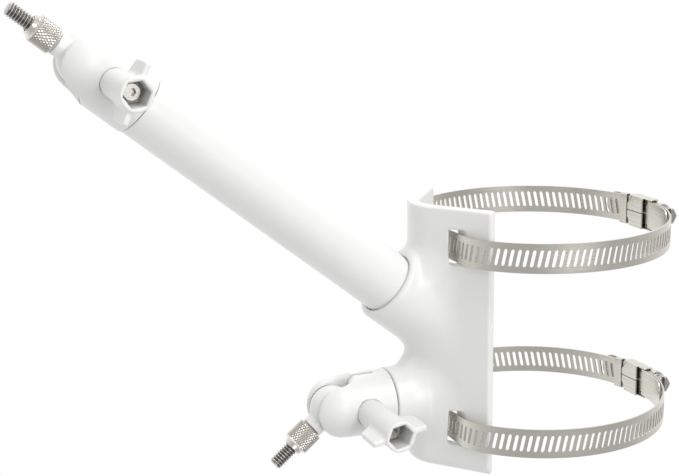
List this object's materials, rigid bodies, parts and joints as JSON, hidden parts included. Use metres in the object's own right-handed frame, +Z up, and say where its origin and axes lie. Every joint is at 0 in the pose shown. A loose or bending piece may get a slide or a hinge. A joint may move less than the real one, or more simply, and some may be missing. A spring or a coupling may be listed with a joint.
{
  "type": "two-headed pole mount bracket",
  "caption": "Cast V saddle banded to a pole, with a sloping tubular arm and a level stub that each end in a clamping ball head with a threaded stud, a knurled lock nut and a wing knob.",
  "frame": {"origin": "on the axis of the two band loops, which is the pole's axis, half way up the saddle", "axes": "+Z up along the pole, -X the way the arm and the stub reach, XZ the bracket's mid-plane, wing knobs towards -Y"},
  "size_m": [0.2997, 0.1166, 0.211],
  "materials": {
    "coated_casting": "white powder coat on cast aluminium, semi-gloss",
    "coated_tube": "white powder coat on drawn aluminium tube, semi-gloss",
    "knob_nylon": "white moulded glass-filled nylon",
    "washer_nylon": "natural nylon",
    "zinc_plated_steel": "zinc-plated steel thread",
    "nickel_plate": "nickel plate over a diamond knurl",
    "stainless_strip": "rolled stainless strip",
    "stainless_screw": "cold-headed stainless"
  },
  "bodies": {
    "bracket": {"saddle_bracket": "coated_casting", "arm_tube": "coated_tube", "arm_base_plug": "zinc_plated_steel", "arm_top_plug": "zinc_plated_steel", "arm_base_screw": "zinc_plated_steel", "arm_base_washer": "zinc_plated_steel", "upper_swivel_screw": "zinc_plated_steel", "upper_swivel_washer": "washer_nylon", "lower_swivel_screw": "zinc_plated_steel", "lower_swivel_washer": "washer_nylon", "upper_band": "stainless_strip", "upper_band_strap": "stainless_strip", "upper_worm_housing": "stainless_strip", "lower_band": "stainless_strip", "lower_band_strap": "stainless_strip", "lower_worm_housing": "stainless_strip"},
    "upper_head": {"upper_head_housing": "coated_casting", "upper_captive_nut": "zinc_plated_steel"},
    "upper_stem": {"upper_ball_stem": "coated_casting", "upper_stud": "zinc_plated_steel"},
    "upper_nut": {"upper_lock_nut": "nickel_plate"},
    "upper_knob": {"upper_wing_knob": "knob_nylon", "upper_clamp_bolt": "zinc_plated_steel"},
    "upper_worm": {"upper_worm_screw": "stainless_screw"},
    "lower_head": {"lower_head_housing": "coated_casting", "lower_captive_nut": "zinc_plated_steel"},
    "lower_stem": {"lower_ball_stem": "coated_casting", "lower_stud": "zinc_plated_steel"},
    "lower_nut": {"lower_lock_nut": "nickel_plate"},
    "lower_knob": {"lower_wing_knob": "knob_nylon", "lower_clamp_bolt": "zinc_plated_steel"},
    "lower_worm": {"lower_worm_screw": "stainless_screw"}
  },
  "joints": [
    {"name": "upper_head_swivel", "type": "hinge", "parent": "bracket", "child": "upper_head", "pos_m": [-0.18024, 0, 0.11039], "axis": [-0.7782, 0, 0.628], "continuous": true},
    {"name": "upper_stem_tilt", "type": "hinge", "parent": "upper_head", "child": "upper_stem", "pos_m": [-0.20249, 0, 0.12835], "axis": [0, 1, 0], "range_deg": [-90, 90]},
    {"name": "upper_nut_travel", "type": "slide", "parent": "upper_stem", "child": "upper_nut", "axis": [-0.7782, 0, 0.628], "range_m": [0, 0.008]},
    {"name": "upper_knob_turn", "type": "hinge", "parent": "upper_head", "child": "upper_knob", "pos_m": [-0.19284, 0, 0.12057], "axis": [0, -1, 0], "range_deg": [0, 720]},
    {"name": "upper_worm_turn", "type": "hinge", "parent": "bracket", "child": "upper_worm", "pos_m": [0.06331, 0.00332, 0.042], "axis": [0.0523, -0.9986, 0], "continuous": true},
    {"name": "lower_head_swivel", "type": "hinge", "parent": "bracket", "child": "lower_head", "pos_m": [-0.07405, 0, -0.02875], "axis": [1, 0, 0], "range_deg": [-50, 230]},
    {"name": "lower_stem_tilt", "type": "hinge", "parent": "lower_head", "child": "lower_stem", "pos_m": [-0.09985, 0, -0.02875], "axis": [0, 1, 0], "range_deg": [-51.1, 128.9]},
    {"name": "lower_nut_travel", "type": "slide", "parent": "lower_stem", "child": "lower_nut", "axis": [-0.7782, 0, -0.628], "range_m": [0, 0.008]},
    {"name": "lower_knob_turn", "type": "hinge", "parent": "lower_head", "child": "lower_knob", "pos_m": [-0.08745, 0, -0.02875], "axis": [0, -1, 0], "range_deg": [0, 720]},
    {"name": "lower_worm_turn", "type": "hinge", "parent": "bracket", "child": "lower_worm", "pos_m": [0.06331, 0.00332, -0.039], "axis": [0.0523, -0.9986, 0], "continuous": true}
  ]
}
